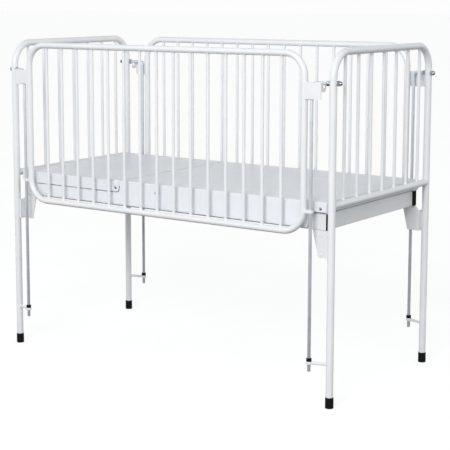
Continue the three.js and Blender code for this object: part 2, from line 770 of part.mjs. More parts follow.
// The lower lug is a round-ended plate from the end tube to the rod.
function lowerLug() {
  const outline = new THREE.Shape();
  const half = ROD_D / 2 + LUG_WALL;
  outline.moveTo(sideX, rodY - half);
  outline.lineTo(rodX, rodY - half);
  outline.absarc(rodX, rodY, half, -Math.PI / 2, Math.PI / 2, false);
  outline.lineTo(sideX, rodY + half);
  outline.closePath();
  const rodCut = bar(
    [rodX, rodY, lugZ - LUG_T],
    [rodX, rodY, lugZ + 2 * LUG_T],
    ROD_D + 2 * SLIDE_FIT,
    TUBE_SIDES,
  );
  return plateXY(outline, lugZ, lugZ + LUG_T).subtract(rodCut);
}

function dropSide() {
  const loop = tubeLoop(
    [
      [-sideX, rodY, sideLowZ],
      [sideX, rodY, sideLowZ],
      [sideX, rodY, sideTopZ],
      [-sideX, rodY, sideTopZ],
    ],
    [SIDE_LOW_BEND, SIDE_LOW_BEND, SIDE_TOP_BEND, SIDE_TOP_BEND],
    SIDE_TUBE_D,
    TUBE_SIDES,
  );
  const pitch = (2 * sideX - 2 * SIDE_BAR_MARGIN) / (SIDE_BARS - 1);
  const bars = Array.from({ length: SIDE_BARS }, (_, k) => {
    const x = -sideX + SIDE_BAR_MARGIN + k * pitch;
    return bar([x, rodY, sideLowZ], [x, rodY, sideTopZ], BAR_D, BAR_SIDES);
  });
  const lugs = [lowerLug(), lowerLug().scale([-1, 1, 1])];
  return join(loop, ...bars, ...lugs);
}

function addDropSides() {
  for (const [name, side] of [["front", -1], ["rear", 1]]) {
    const half = new THREE.Group();
    half.scale.y = side;
    addPart(half, `${name}_drop_side`, dropSide(), "powder");
    cot.add(half);
  }
}

addEnds();
addCorners();
addBedFrame();
addBearers();
addPart(cot, "deck_tray", deckTray(), "deck");
addDeckScrews();
addBackrest();
addDropSides();

export default cot;
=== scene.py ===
# %% [markdown]
# # A children's hospital cot
# The cot is a welded steel frame with two sides that slide down on bars, and a
# bed deck whose head part tilts up. The CAD model fixes every size. This lesson
# makes a finer surface for each of its parts, paints it, and puts it where the
# CAD part is.

# %% Load the frame
import json
import math

import bmesh
import bpy
import numpy as np
from mathutils import Euler, Matrix, Vector

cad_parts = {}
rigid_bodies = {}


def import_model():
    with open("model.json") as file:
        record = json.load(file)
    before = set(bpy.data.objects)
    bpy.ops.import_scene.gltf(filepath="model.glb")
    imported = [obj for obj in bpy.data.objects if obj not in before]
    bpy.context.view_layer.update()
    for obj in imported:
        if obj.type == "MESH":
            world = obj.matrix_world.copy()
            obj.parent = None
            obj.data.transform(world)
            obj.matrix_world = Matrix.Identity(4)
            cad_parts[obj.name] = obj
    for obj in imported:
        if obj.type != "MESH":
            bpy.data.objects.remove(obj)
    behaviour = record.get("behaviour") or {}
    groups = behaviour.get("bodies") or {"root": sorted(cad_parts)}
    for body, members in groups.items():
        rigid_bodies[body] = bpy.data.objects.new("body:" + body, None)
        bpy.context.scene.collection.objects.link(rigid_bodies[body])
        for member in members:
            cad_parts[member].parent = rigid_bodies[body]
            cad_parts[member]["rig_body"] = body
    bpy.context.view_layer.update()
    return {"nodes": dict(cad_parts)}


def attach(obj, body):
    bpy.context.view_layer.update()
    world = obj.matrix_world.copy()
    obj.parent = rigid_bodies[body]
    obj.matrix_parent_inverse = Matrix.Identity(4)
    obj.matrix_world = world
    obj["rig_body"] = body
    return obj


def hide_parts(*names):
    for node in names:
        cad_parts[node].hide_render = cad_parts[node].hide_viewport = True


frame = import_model()

# %% [markdown]
# ## Camera
# The photograph was taken from a little above the top rail, at the foot end's
# front corner. Its posts stay almost upright, so the camera is tilted only a
# little, and its lens is shifted. The numbers come from matching the leg tips,
# post tops and rail ends of the CAD model to the picture.


# %% Camera
def add(name, data, *columns):
    """Puts an object in the scene. columns, if given, are its three axes and its place."""
    made = bpy.data.objects.new(name, data)
    bpy.context.scene.collection.objects.link(made)
    if columns:
        made.matrix_world = Matrix(np.vstack([np.column_stack(columns), (0, 0, 0, 1)]))
    return made


FRAME_PX, FOCAL_PX, SHIFT_PX, SENSOR_MM = 450, 1303.4, (40, -50), 36
CAMERA_PLACE = (2.4786, -3.5077, 1.2069)
YAW, PITCH, ROLL = (math.radians(a) for a in (36.599, 7.987, -0.1408))
turn = Euler((math.pi / 2 - PITCH, 0, YAW)).to_matrix() @ Matrix.Rotation(ROLL, 3, "Z")
camera = add("camera", bpy.data.cameras.new("camera"), *turn.col, CAMERA_PLACE)
camera.data.sensor_width = SENSOR_MM
camera.data.lens = FOCAL_PX / FRAME_PX * SENSOR_MM
camera.data.shift_x, camera.data.shift_y = (shift / FRAME_PX for shift in SHIFT_PX)
bpy.context.scene.camera = camera
print("lens", round(camera.data.lens, 2), "mm")

# %% [markdown]
# ## Wires and finishes
# A shader is a net of nodes, and arithmetic on it is easier to read as a
# formula. A wire is one output of a node. Adding or multiplying wires makes the
# Math nodes. A net makes every node with its method `node`, and a finish is the
# net of one material.


# %% Wires and finishes
class Wire:
    """One output socket of a net. Arithmetic with wires and numbers adds Math nodes."""

    def __init__(self, net, socket):
        self.net, self.socket = net, socket

    def math(self, operation, first, second):
        return self.net.node("ShaderNodeMath", {"operation": operation}, {0: first, 1: second})

    def __add__(self, other):
        return self.math("ADD", self, other)

    def __sub__(self, other):
        return self.math("SUBTRACT", self, other)

    def __rsub__(self, other):
        return self.math("SUBTRACT", other, self)

    def __mul__(self, other):
        return self.math("MULTIPLY", self, other)

    __radd__, __rmul__ = __add__, __mul__


class Net:
    """The node tree of a material or a world."""

    def __init__(self, owner):
        owner.use_nodes = True
        self.tree = owner.node_tree

    def node(self, kind, settings=None, inputs=None, output=0):
        """Adds a node: its settings first, then the values or wires of its sockets."""
        made = self.tree.nodes.new(kind)
        for key, value in (settings or {}).items():
            setattr(made, key, value)
        for key, value in (inputs or {}).items():
            if isinstance(value, Wire):
                self.tree.links.new(value.socket, made.inputs[key])
            else:
                made.inputs[key].default_value = value
        return Wire(self, made.outputs[output])

    def span(self, value, low=0.3, high=0.7, first=0.0, last=1.0):
        """Maps low..high onto first..last, and stays inside them. Noise is mostly 0.3 to 0.7."""
        return self.node("ShaderNodeMapRange", {}, {0: value, 1: low, 2: high, 3: first, 4: last})


class Finish(Net):
    """A material. Constants are set on its shader, and wires are fed to it."""

    FEEDS = dict(colour="Base Color", rough="Roughness", coat="Coat Weight", normal="Normal")

    def __init__(self, slot, constants):
        self.slot, self.material = slot, bpy.data.materials.new(slot + "_finish")
        super().__init__(self.material)
        self.shader = self.tree.nodes["Principled BSDF"]
        for socket, value in constants.items():
            self.shader.inputs[socket].default_value = value

    def place(self):
        """The piece's own coordinates, in metres."""
        return self.node("ShaderNodeTexCoord", output="Object")

    def cloud(self, vector, size, detail, stretch=(1, 1, 1)):
        """Noise from 0 to 1 with spots of about this size in metres, stretched along axes."""
        scale = tuple(1 / (size * s) for s in stretch)
        scaled = self.node("ShaderNodeVectorMath", {"operation": "MULTIPLY"}, {0: vector, 1: scale})
        inputs = {"Vector": scaled, "Scale": 1.0, "Detail": detail}
        return self.node("ShaderNodeTexNoise", {}, inputs)

    def tint(self, mask, one, other):
        """One colour where the mask is 0, the other where it is 1. The Mix node's colours are its
        inputs 6 and 7 and its output 2."""
        first, second = (c if isinstance(c, Wire) else (*c, 1) for c in (one, other))
        inputs = {0: mask, 6: first, 7: second}
        return self.node("ShaderNodeMix", {"data_type": "RGBA"}, inputs, 2)

    def relief(self, height, depth, strength):
        """A bump as if the height wire, 0 to 1, stood up by depth metres."""
        inputs = {"Height": height, "Distance": depth, "Strength": strength}
        return self.node("ShaderNodeBump", {}, inputs)

    def feed(self, **wires):
        """Joins wires to the shader, and says how many nodes that took."""
        for key, wire in wires.items():
            self.tree.links.new(wire.socket, self.shader.inputs[self.FEEDS[key]])
        print(self.material.name, len(self.tree.nodes), "nodes")
        return self


print("finish tools ready")

# %% [markdown]
# ## White powder coat
# The frame is dusted with white powder that melts in an oven, into a skin with
# a faint orange-peel ripple. Its gloss varies a little, and a thin grey film of
# floor dust gathers low on the legs.

# %% White powder coat
f = Finish("white_coat", {"IOR": 1.5, "Coat Roughness": 0.12, "Coat IOR": 1.45})
at = f.place()
height = f.node("ShaderNodeSeparateXYZ", {}, {0: at}, 2)
peel = f.cloud(at, 0.0016, 3)
speck = f.cloud(at, 0.0005, 1)
drift = f.cloud(at, 0.09, 3)
low = f.span(height, 0.0, 0.16, 1.0, 0.0) * f.span(f.cloud(at, 0.02, 4), 0.38, 0.72)
clean = f.tint(f.span(drift), (0.80, 0.815, 0.835), (0.845, 0.85, 0.86))
colour = f.tint(low * 0.35, clean, (0.60, 0.59, 0.57))
rough = f.span(drift, first=0.30, last=0.38) + speck * 0.05 + low * 0.15
normal = f.relief(peel * 0.8 + speck * 0.2, 0.00006, 0.55)
WHITE = f.feed(colour=colour, rough=rough, coat=0.35 - low * 0.2, normal=normal)

# %% [markdown]
# ## Grey deck coat
# The deck has a slightly greyer, flatter coat. On a big sheet the roller marks
# of the mill show through as long shallow waves, and cleaning leaves fine
# scuffs, so its gloss wanders more than on the tubes.

# %% Grey deck coat
f = Finish("deck_coat", {"IOR": 1.48, "Coat Roughness": 0.25})
at = f.place()
peel = f.cloud(at, 0.0014, 3)
waves = f.cloud(at, 0.16, 2, (1.8, 0.7, 1))
scuffs = f.span(f.cloud(at, 0.006, 4, (7, 1, 1)), 0.60, 0.74)
drift = f.cloud(at, 0.05, 4)
base = f.tint(f.span(drift), (0.79, 0.81, 0.845), (0.82, 0.84, 0.87))
colour = f.tint(scuffs * 0.25, base, (0.87, 0.875, 0.88))
rough = f.span(waves, first=0.36, last=0.46) + scuffs * 0.08
normal = f.relief(peel, 0.00005, 0.5)
DECK = f.feed(colour=colour, rough=rough, coat=0.15 + waves * 0.1, normal=normal)

# %% [markdown]
# ## Zinc-plated bar
# The guide rods are drawn through a die and plated, so fine lines run along
# them, under a cloudy grey skin. To follow the bar round its bend, they read an
# attribute that says where a point was while the bar was straight.

# %% Zinc-plated bar
f = Finish("zinc_bar", {"Metallic": 0.45})
straight = f.node("ShaderNodeAttribute", {"attribute_name": "straight_bar"}, output="Vector")
lines = f.cloud(straight, 0.0007, 3, (1, 1, 60))
bloom = f.cloud(straight, 0.012, 4, (1, 1, 2.5))
colour = f.tint(f.span(bloom), (0.66, 0.70, 0.745), (0.76, 0.80, 0.84))
colour = f.tint(f.span(lines, 0.55, 0.75) * 0.35, colour, (0.82, 0.85, 0.88))
rough = f.span(bloom, first=0.34, last=0.46) + lines * 0.10
ZINC_BAR = f.feed(colour=colour, rough=rough, normal=f.relief(lines, 0.00003, 0.6))

# %% [markdown]
# ## Zinc-plated fasteners
# Nuts and screws are barrel-plated: they tumble against each other, so their
# skin is mottled, with small bright knocks in a darker grey.

# %% Zinc-plated fasteners
f = Finish("zinc_fastener", {"Metallic": 0.9})
at = f.place()
mottle = f.cloud(at, 0.003, 4)
knocks = f.span(f.cloud(at, 0.0011, 2), 0.62, 0.72)
base = f.tint(f.span(mottle), (0.36, 0.40, 0.44), (0.50, 0.54, 0.57))
colour = f.tint(knocks * 0.5, base, (0.80, 0.82, 0.83))
rough = f.span(mottle, first=0.18, last=0.28) + knocks * 0.08
normal = f.relief(mottle - knocks * 0.3, 0.00005, 0.5)
ZINC_NUT = f.feed(colour=colour, rough=rough, normal=normal)

# %% [markdown]
# ## Black rubber and plastic
# Both are moulded in a sand-blasted tool, which leaves a fine grain. The rubber
# is duller, and holds grey dust in its grain near the floor.

# %% Black rubber and plastic
f = Finish("black_rubber", {"IOR": 1.45, "Specular IOR Level": 0.2})
at = f.place()
height = f.node("ShaderNodeSeparateXYZ", {}, {0: at}, 2)
grain = f.cloud(at, 0.0006, 3)
dust = f.span(f.cloud(at, 0.008, 4), 0.45, 0.75) * f.span(height, 0.0, 0.03, 0.55, 0.12)
colour = f.tint(dust, (0.003, 0.003, 0.0035), (0.022, 0.021, 0.020))
rough = 0.58 + dust * 0.3 + grain * 0.06
RUBBER = f.feed(colour=colour, rough=rough, normal=f.relief(grain, 0.00008, 0.6))

f = Finish("black_plastic", {"IOR": 1.47, "Specular IOR Level": 0.04})
at = f.place()
grain = f.cloud(at, 0.0005, 2)
haze = f.cloud(at, 0.01, 3)
colour = f.tint(f.span(haze, 0.35, 0.7), (0.002, 0.002, 0.002), (0.006, 0.006, 0.0065))
rough = f.span(haze, first=0.40, last=0.52)
PLASTIC = f.feed(colour=colour, rough=rough, normal=f.relief(grain, 0.00006, 0.6))

# %% [markdown]
# ## Shells
# Every piece is one or more shells. A shell is an array of points in
# millimetres, a list of faces, and the points' places on the straight bar. Most
# shells are a grid: rows along something, columns around it. Joining the last
# column to the first closes a tube, and a many-sided face closes each end.


# %% Shells
def grid_shell(points, closed=False, straight=None):
    """A grid of rows by columns, closed round the columns. Each face joins a point to the next
    in its row and to the same two in the next row. Rows close too, or get a cap at each end."""
    rows, columns = points.shape[:2]
    index = np.arange(rows * columns).reshape(rows, columns)
    near = index if closed else index[:-1]
    far = np.roll(index, -1, 0) if closed else index[1:]
    quads = np.stack([near, np.roll(near, -1, 1), np.roll(far, -1, 1), far], -1).reshape(-1, 4)
    faces = quads.tolist()
    if not closed:
        faces += [index[0, ::-1].tolist(), index[-1].tolist()]
    flat = points.reshape(-1, 3)
    return flat, faces, flat if straight is None else straight.reshape(-1, 3)


def welded_shell(panels):
    """Faces given by their corner points. Corners closer than 0.001 mm become one point."""
    sizes = [len(panel) for panel in panels]
    points, which = np.unique(np.round(np.vstack(panels), 3), axis=0, return_inverse=True)
    rings = np.split(which.ravel(), np.cumsum(sizes)[:-1])
    faces = [ring[ring != np.roll(ring, 1)].tolist() for ring in rings]
    return points, [face for face in faces if len(set(face)) > 2], points


def at_height(flat, height):
    """Points of a plane with a third coordinate, the same for all."""
    return np.column_stack([flat, np.full(len(flat), height)])


def moved(shell, matrix, origin=(0, 0, 0)):
    """A shell turned by a 3 by 3 matrix whose columns are its new axes, then shifted."""
    points, faces, straight = shell
    return points @ np.transpose(matrix) + origin, faces, straight


def mirrored(shells, end, side):
    """The same shells at another corner: x times end and y times side, each 1 or -1."""
    return [moved(shell, np.diag([end, side, 1])) for shell in shells]


print("shell tools ready")

# %% [markdown]
# ## From shells to a piece
# One function turns shells into an object at the origin, and takes the CAD
# part's place. Faces are turned outwards, because a mirrored shell comes out
# inside out. A folded sheet gets its thickness from Solidify, and crisp parts
# get a small rounded edge from Bevel, which catches the light.


# %% From shells to a piece
MM = 0.001
BEVEL_ABOVE, BEVEL_STEPS = math.radians(40), 2
pieces = {}


def put(node, ending, shells, finish, edge=0.0, wall=0.0, outside=None, crease=40):
    """Makes the piece node_ending. edge is the rounding and wall the sheet's thickness, in mm.
    outside is where a sheet's largest face looks. Edges sharper than crease degrees stay sharp."""
    starts = np.cumsum([0] + [len(shell[0]) for shell in shells])
    points = np.vstack([shell[0] for shell in shells]) * MM
    straight = np.vstack([shell[2] for shell in shells]) * MM
    faces = [
        [int(i + start) for i in face]
        for start, shell in zip(starts, shells)
        for face in shell[1]
    ]
    mesh = bpy.data.meshes.new(node + "_" + ending)
    mesh.from_pydata(points.tolist(), [], faces)
    solid = bmesh.new()
    solid.from_mesh(mesh)
    bmesh.ops.recalc_face_normals(solid, faces=solid.faces)
    if outside is not None:
        widest = max(solid.faces, key=lambda face: face.calc_area())
        if widest.normal.dot(outside) < 0:
            bmesh.ops.reverse_faces(solid, faces=solid.faces)
    solid.to_mesh(mesh)
    solid.free()
    bar_places = mesh.attributes.new("straight_bar", "FLOAT_VECTOR", "POINT")
    bar_places.data.foreach_set("vector", straight.ravel())
    mesh.shade_smooth()
    mesh.set_sharp_from_angle(angle=math.radians(crease))
    mesh.materials.append(finish.material)
    piece = add(mesh.name, mesh)
    if wall:
        thick = piece.modifiers.new("wall", "SOLIDIFY")
        thick.thickness, thick.offset, thick.use_even_offset = wall * MM, -1, True
    if edge:
        soft = piece.modifiers.new("edge", "BEVEL")
        soft.width, soft.segments, soft.limit_method = edge * MM, BEVEL_STEPS, "ANGLE"
        soft.angle_limit, soft.harden_normals = BEVEL_ABOVE, True
    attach(piece, frame["nodes"][node]["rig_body"])
    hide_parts(node)
    pieces[mesh.name] = piece


ENDS = {"head": -1, "foot": 1}
SIDES = {"front": -1, "rear": 1}
CORNERS = {f"{s}_{e}": (ENDS[e], SIDES[s]) for s in SIDES for e in ENDS}
print("corners:", list(CORNERS))

# %% [markdown]
# ## Tubes and bars
# A bent tube is a circle carried along a path of straight runs and arcs. All
# the cot's bars bend in one plane, so the plane's normal is one axis of the
# circle everywhere, and the tube can't twist. A bar that is welded to a tube
# swells where the weld fills the corner.


# %% Tubes and bars
def unit(v):
    """A vector, or each row of an array, at length 1."""
    v = np.asarray(v, float)
    return v / np.linalg.norm(v, axis=-1, keepdims=True)


def bent_path(corners, bends, closed=False, steps=14):
    """Points and directions along straight runs joined by arcs. An arc starts bend x tan(half the
    turn) before its corner, and its points are centre + bend x (direction x sin - inward x cos)."""
    corners = np.asarray(corners, float)
    count = len(corners)
    inner = range(count) if closed else range(1, count - 1)
    places, headings = [], []
    for k, bend in zip(inner, np.broadcast_to(bends, len(inner))):
        ahead = unit(corners[(k + 1) % count] - corners[k])
        behind = unit(corners[k] - corners[k - 1])
        turn = math.acos(np.clip(ahead @ behind, -1, 1))
        inward = unit(ahead - behind * (ahead @ behind))
        start = corners[k] - behind * bend * math.tan(turn / 2)
        a = np.linspace(0, turn, steps + 1)[:, None]
        places.append(start + inward * bend + bend * (behind * np.sin(a) - inward * np.cos(a)))
        headings.append(behind * np.cos(a) + inward * np.sin(a))
    if not closed:
        first, last = unit(corners[1:2] - corners[:1]), unit(corners[-1:] - corners[-2:-1])
        places = [corners[:1], *places, corners[-1:]]
        headings = [first, *headings, last]
    return np.vstack(places), np.vstack(headings)


def lengths(places):
    """The distance along a path at each of its points."""
    return np.concatenate([[0], np.cumsum(np.linalg.norm(np.diff(places, axis=0), axis=1))])


def with_stops(places, headings, stops):
    """The same path with more points, at these distances along it."""
    along = lengths(places)
    stops = np.unique(np.round(np.concatenate([along, np.clip(stops, 0, along[-1])]), 4))
    pick = lambda values: np.column_stack([np.interp(stops, along, column) for column in values.T])
    return pick(places), unit(pick(headings)), stops


def circle(count):
    """This many even angles, once round."""
    return np.linspace(0, 2 * np.pi, count, endpoint=False)


def round_tube(places, headings, normal, radius, sides=32, closed=False):
    """Point = centre + radius x (cos a x sideways + sin a x normal). The radius is a number, or an
    array of rows by columns."""
    a = circle(sides)
    sideways = np.cross(normal, headings)
    radius = np.broadcast_to(radius, (len(places), sides))
    x, y = radius * np.cos(a), radius * np.sin(a)
    points = places[:, None] + x[..., None] * sideways[:, None] + y[..., None] * normal
    straight = np.dstack([x, y, np.broadcast_to(lengths(places)[:, None], x.shape)])
    return grid_shell(points, closed, straight)


def straight_bar(low, high, parts, normal, radius, sides):
    """A round bar with a ring of points at each of these parts of the way from low to high."""
    way = np.subtract(high, low)
    places = low + way * parts[:, None]
    return round_tube(places, np.broadcast_to(unit(way), places.shape), normal, radius, sides)


def welded_bar(low, high, radius, tube_radius, tube_way, sides=24, weld=1.5):
    """A straight bar between the axes of two tubes that run along tube_way. Its radius is
    radius + weld x exp(-gap / weld), where gap is the height above the tube's round surface."""
    span = np.linalg.norm(np.subtract(high, low))
    near = tube_radius + np.array([-5, -2.2, -1.6, -1, -0.5, 0, 0.4, 0.9, 1.5, 2.3, 3.4, 5, 8])
    along = np.concatenate([near, span - near[::-1]])
    skin = np.sqrt(tube_radius**2 - (radius * np.cos(circle(sides))) ** 2)
    gap = np.maximum(np.minimum(along, span - along)[:, None] - skin, 0)
    swollen = radius + weld * np.exp(-gap / weld)
    return straight_bar(low, high, along / span, tube_way, swollen, sides)


print("tube tools ready")

# %% [markdown]
# ## End hoops
# Each end is one tube bent into a hoop: two legs and a top rail. A small eye is
# welded to each leg to hold the foot of the guide rod. The eye's arm runs
# slantwise from the leg to the rod, and its ring is turned round the rod.

# %% End hoops
POST_X, POST_Y, POST_R, POST_LOW, HOOP_TOP, HOOP_BEND = 620, 300, 11, 5, 1038, 75
ROD_X, ROD_Y, ROD_R, LEG_Z = 560, 318, 5, 950
EYE_Z, EYE_LOW, EYE_HIGH, EYE_R, EYE_BORE_R, ARM_R = 131.0, 126.75, 135.25, 9, 5.3, 4.2


def spun(r, h, a, closed=True):
    """Rows of points round an upright axis: (r cos a, r sin a, h)."""
    points = np.broadcast_arrays(r * np.cos(a), r * np.sin(a), h)
    return grid_shell(np.dstack(points), closed)


def turned(profile, sides, closed=False):
    """Radius and height pairs, one for each row, spun round an upright axis."""
    profile = np.asarray(profile, float)
    return spun(profile[:, :1], profile[:, 1:], circle(sides), closed)


def rounded(corners, radius, steps=5):
    """A closed outline in a plane with each corner rounded. A radius of 0 keeps a corner."""
    flat, count, parts = at_height(corners, 0), len(corners), []
    for k, bend in enumerate(np.broadcast_to(radius, count)):
        around = flat[[k - 1, k, (k + 1) % count]]
        parts.append(bent_path(around, bend, steps=steps)[0][1:-1] if bend else flat[k : k + 1])
    return np.vstack(parts)[:, :2]


def eye(end, side):
    """A ring on the rod, a rounded rectangle spun round, and an arm from the leg's axis to it."""
    section = [(EYE_R, EYE_LOW), (EYE_R, EYE_HIGH), (EYE_BORE_R, EYE_HIGH), (EYE_BORE_R, EYE_LOW)]
    ring = turned(rounded(section, 1.0), 40, True)
    leg, rod = np.array([POST_X, POST_Y, EYE_Z]), np.array([ROD_X, ROD_Y, EYE_Z])
    way = unit(rod - leg)
    places, headings, s = with_stops(*bent_path([leg, rod - way * 6.2], 1), [10, 11, 12, 13.5, 16])
    swell = 1.5 * np.exp(-np.maximum(s - POST_R, 0) / 1.6)
    arm = round_tube(places, headings, (0, 0, 1), (ARM_R + swell)[:, None], 20)
    return mirrored([moved(ring, np.eye(3), (ROD_X, ROD_Y, 0)), arm], end, side)


for end_name, end in ENDS.items():
    x = POST_X * end
    front = [(x, -POST_Y, POST_LOW), (x, -POST_Y, HOOP_TOP)]
    rear = [(x, POST_Y, HOOP_TOP), (x, POST_Y, POST_LOW)]
    hoop = [round_tube(*bent_path(front + rear, HOOP_BEND, steps=20), (1, 0, 0), POST_R)]
    put(f"{end_name}_end_hoop", "painted", hoop + eye(end, -1) + eye(end, 1), WHITE)
print("hoops:", list(pieces))

# %% [markdown]
# ## End grilles
# Inside each hoop a lower rail and seven upright bars are welded. The bars end
# inside the rails, so only the weld at the surface is shaped.

# %% End grilles
GRILLE_Z, GRILLE_R, BAR_R = 598, 11, 5
GRILLE_BARS = np.linspace(-234, 234, 7)
for end_name, end in ENDS.items():
    x = POST_X * end
    rail_ends = (x, -POST_Y, GRILLE_Z), (x, POST_Y, GRILLE_Z)
    grille = [welded_bar(*rail_ends, GRILLE_R, POST_R, (0, 0, 1), 32)]
    grille += [
        welded_bar((x, y, GRILLE_Z), (x, y, HOOP_TOP), BAR_R, GRILLE_R, (0, 1, 0))
        for y in GRILLE_BARS
    ]
    put(f"{end_name}_end_grille", "painted", grille, WHITE)
print("grille bars per end:", len(grille) - 1)

# %% [markdown]
# ## Drop sides
# A drop side is a closed loop of tube with fifteen bars. Near its bottom, two
# lugs with a hole run on the guide rods. A lug is a flat plate whose outline is
# given as a distance from the hole's centre at each angle, so one ring of faces
# joins the outline to the hole.


# %% Drop sides
LOOP_X, LOOP_LOW, LOOP_HIGH, LOOP_R, LOOP_BENDS = 536, 515, 1034, 10, [70, 70, 66, 66]
SIDE_BARS = -458 + 65.43 * np.arange(15)
LUG_LOW, LUG_HIGH, LUG_BORE_R = 575, 585, 5.5


def ring_plate(angles, outer, inner, low, high):
    """A plate between two curves, given by their distance from one centre at each angle. Its rows
    go round the section: outer low, outer high, inner high, inner low."""
    rows = np.stack([outer, outer, inner, inner])
    return spun(rows, np.array([[low], [high], [high], [low]]), angles)


def lug(end, side):
    """A tongue 18 mm wide with a round end: distance 9 on the round side, and on the tube side the
    nearer of the straight edge, 9 / sin, and the cut end, 24 / cos."""
    a = circle(72)
    sine, cosine = np.maximum(np.abs(np.sin(a)), 1e-6), np.maximum(-np.cos(a), 1e-6)
    outer = np.where(np.cos(a) >= 0, 9, np.minimum(9 / sine, 24 / cosine))
    plate = ring_plate(a, outer, np.full(len(a), LUG_BORE_R), LUG_LOW, LUG_HIGH)
    return mirrored([moved(plate, np.eye(3), (ROD_X, ROD_Y, 0))], end, side)


for side_name, side in SIDES.items():
    y = ROD_Y * side
    low, high = ([(x, y, z) for x in (-LOOP_X, LOOP_X)] for z in (LOOP_LOW, LOOP_HIGH))
    path = bent_path(low + high[::-1], LOOP_BENDS, True, 18)
    loop = round_tube(*path, (0, 1, 0), LOOP_R, closed=True)
    bars = [
        welded_bar((x, y, LOOP_LOW), (x, y, LOOP_HIGH), BAR_R, LOOP_R, (1, 0, 0))
        for x in SIDE_BARS
    ]
    shells = [loop, *bars, *lug(-1, side), *lug(1, side)]
    put(f"{side_name}_drop_side", "painted", shells, WHITE, crease=50)
print("drop side bars:", len(bars))

# %% [markdown]
# ## Folded sheets
# Plates are cut flat and folded. A folded sheet is made of its outer faces only:
# flat panels, and a strip of narrow faces for each bend. Panels and strips share
# their edge points, so they weld into one skin, and Solidify gives the wall.


# %% Upper guides
def strip(centre, first, last, steps=6):
    """A bend: each point of its centre line carries a quarter circle from first to last. Point =
    centre + first x cos a + last x sin a."""
    a = np.linspace(0, np.pi / 2, steps + 1)[:, None, None]
    arc = centre[None] + np.cos(a) * first + np.sin(a) * last
    near, far = arc[:-1], arc[1:]
    faces = np.stack([near[:, :-1], near[:, 1:], far[:, 1:], far[:, :-1]], 2)
    return list(faces.reshape(-1, 4, 3))


def reach(outline, centre, angles):
    """How far a convex outline is from a point inside it, at each angle: where the ray first
    crosses the line of a side."""
    start = np.subtract(outline, centre)
    way = np.roll(start, -1, 0) - start
    normal = np.column_stack([way[:, 1], -way[:, 0]])
    ray = np.column_stack([np.cos(angles), np.sin(angles)])
    slope = ray @ normal.T
    distance = (start * normal).sum(1) / np.where(slope > 1e-9, slope, np.nan)
    return np.nanmin(distance, axis=1)


def spokes(outline, hole, count):
    """Angles round a hole, in order: this many even ones, and those of the outline's corners."""
    even = np.linspace(-np.pi, np.pi, count, endpoint=False)
    return np.unique(np.concatenate([even, np.arctan2(*np.subtract(outline, hole).T[::-1])]))


def upper_guide():
    """The plate beside the rod's bend, with a holed tab below and a hooked tab at its end. x, y and
    z are the outer faces of the hooked tab, the plate and the holed tab."""
    fold, x, y, z, top = 3.5, 595, 327.5, 903, 952
    inner_x, inner_y, inner_z = x - fold, y - fold, z + fold
    start, tab_start, tab_stop, tab_edge = 536, 546.3, 572, 310
    hook_low, slot_y, slot_z, slot_r = 925, 307.9, 940.7, 6
    tab = [(tab_start, tab_edge), (tab_stop, tab_edge), (tab_stop, inner_y), (tab_start, inner_y)]
    hole = ROD_X, ROD_Y
    a = spokes(tab, hole, 48)
    ray = np.column_stack([np.cos(a), np.sin(a)])
    rim = at_height(hole + reach(tab, hole, a)[:, None] * ray, z)
    bore = at_height(hole + LUG_BORE_R * ray, z)
    panels = list(np.stack([rim, np.roll(rim, -1, 0), np.roll(bore, -1, 0), bore], 1))
    seam = rim[np.abs(rim[:, 1] - inner_y) < 1e-6]
    seam = seam[np.argsort(seam[:, 0])]
    panels += strip(at_height(seam[:, :2], inner_z), (0, 0, -fold), (0, fold, 0))
    end_line = np.array([(inner_x, inner_y, hook_low), (inner_x, inner_y, top)], float)
    panels += strip(end_line, (0, fold, 0), (fold, 0, 0))
    near_side = [(start, top), (start, z), (tab_start, z)]
    bottom = [(seam_x, inner_z) for seam_x in seam[:, 0]]
    far_side = [(tab_stop, z), (x, z), (x, hook_low), (inner_x, hook_low), (inner_x, top)]
    radii = [4, 4] + [0] * (len(bottom) + 2) + [3, 0, 0, 0]
    face = rounded([*near_side, *bottom, *far_side], radii)
    panels.append(at_height(face, y)[:, [0, 2, 1]])
    t = np.linspace(0, np.pi, 13)
    slot = np.column_stack([slot_y - slot_r * np.cos(t), slot_z - slot_r * np.sin(t)])
    t = np.linspace(0, 1, 7) * np.pi / 2
    nose = np.column_stack([slot_y - 10 * np.sin(t), 938.5 - 13.5 * np.cos(t)])
    prongs = [(297.9, top), (301.9, top)], [(313.9, top), (inner_y, top)]
    hook = np.vstack([[(inner_y, hook_low)], nose, prongs[0], slot, prongs[1]])
    panels.append(at_height(hook, x)[:, [2, 0, 1]])
    return welded_shell(panels)


for corner, (end, side) in CORNERS.items():
    guide = mirrored([upper_guide()], end, side)
    put(f"{corner}_upper_guide", "folded", guide, WHITE, 0.5, 2.5, (0, side, 0))
print("upper guide panels:", len(upper_guide()[1]))

# %% [markdown]
# ## Guide rods, nuts and buffers
# A rod stands in the eye and bends over at the top. Its leg goes through the
# post, and a thread on it takes a nut on each side. The thread is a ripple of
# the radius that climbs by one pitch each turn round. A nut is a hexagon whose
# corners are cut by a cone, and the cap nut adds a dome.

# %% Guide rods
LEG_WAY = unit([POST_X - ROD_X, POST_Y - ROD_Y, 0])
LEG_POST = np.array([POST_X, POST_Y, LEG_Z])
LEG_TIP, ROD_LOW, ROD_BEND = 21.69, 105, 14
PITCH_MM, THREAD_DEPTH = 1.5, 0.55


